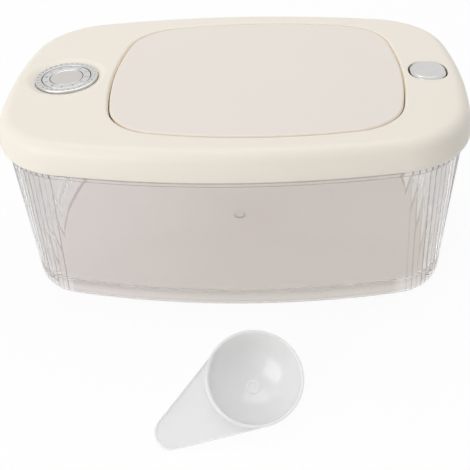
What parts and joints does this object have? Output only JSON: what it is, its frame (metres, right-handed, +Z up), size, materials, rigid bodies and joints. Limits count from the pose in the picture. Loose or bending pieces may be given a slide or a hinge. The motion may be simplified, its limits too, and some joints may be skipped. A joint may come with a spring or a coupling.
{
  "type": "rice storage container",
  "caption": "Oval clear tub with reeded ends and a cream lift-off cover: a push button opens a sprung flush door for scooping rice, and a dial marks the date. A bowl scoop lies in front.",
  "frame": {"origin": "on the floor, under the middle of the tub", "axes": "+Z up, +X towards the push button, +Y to the rear, away from the scoop"},
  "size_m": [0.33, 0.3375, 0.1355],
  "materials": {
    "clear_plastic": "clear, faintly warm grey, glossy",
    "cream_plastic": "cream, glossy",
    "frame_plastic": "off-white, as moulded",
    "silver_plastic": "satin chrome plating on plastic",
    "scoop_plastic": "translucent white, smooth",
    "seal_rubber": "soft, off-white",
    "steel": "zinc-plated wire and screws"
  },
  "bodies": {
    "tub": {"tub": "clear_plastic"},
    "cover": {"cover_shell": "cream_plastic", "inner_frame": "frame_plastic", "rim_seal": "seal_rubber", "cover_screws": "steel", "hinge_pin": "steel", "pin_retainer": "steel", "door_spring": "steel", "dial_bezel": "silver_plastic", "button_springs": "steel"},
    "door": {"door_panel": "cream_plastic", "door_liner": "frame_plastic", "door_screws": "steel", "door_seal": "seal_rubber"},
    "button": {"push_button": "silver_plastic"},
    "latch": {"latch_slider": "frame_plastic"},
    "month_ring": {"month_ring": "silver_plastic"},
    "pointer_knob": {"pointer_knob": "silver_plastic", "dial_screw": "steel"},
    "scoop": {"scoop": "scoop_plastic"}
  },
  "joints": [
    {"name": "cover_lift", "type": "slide", "parent": "tub", "child": "cover", "axis": [0, 0, 1], "range_m": [0, 0.08]},
    {"name": "door_hinge", "type": "hinge", "parent": "cover", "child": "door", "pos_m": [-0.0936, 0, 0.1293], "axis": [0, -1, 0], "range_deg": [0, 90], "deforming": ["door_spring"]},
    {"name": "button_press", "type": "slide", "parent": "cover", "child": "button", "axis": [0, 0, -1], "range_m": [0, 0.0034], "stiffness_N_per_m": 600, "springref_m": -0.002, "deforming": ["button_springs"]},
    {"name": "latch_slide", "type": "slide", "parent": "cover", "child": "latch", "axis": [1, 0, 0], "range_m": [0, 0.0034]},
    {"name": "month_ring_turn", "type": "hinge", "parent": "cover", "child": "month_ring", "pos_m": [-0.12225, 0, 0.13], "axis": [0, 0, 1], "continuous": true},
    {"name": "pointer_knob_turn", "type": "hinge", "parent": "cover", "child": "pointer_knob", "pos_m": [-0.12225, 0, 0.13], "axis": [0, 0, 1], "continuous": true},
    {"name": "scoop_lift", "type": "slide", "parent": "tub", "child": "scoop", "axis": [0, 0, 1], "range_m": [0, 0.12]}
  ],
  "couplings": [
    {"joint": "latch_slide", "follows": "button_press", "ratio": 1}
  ]
}
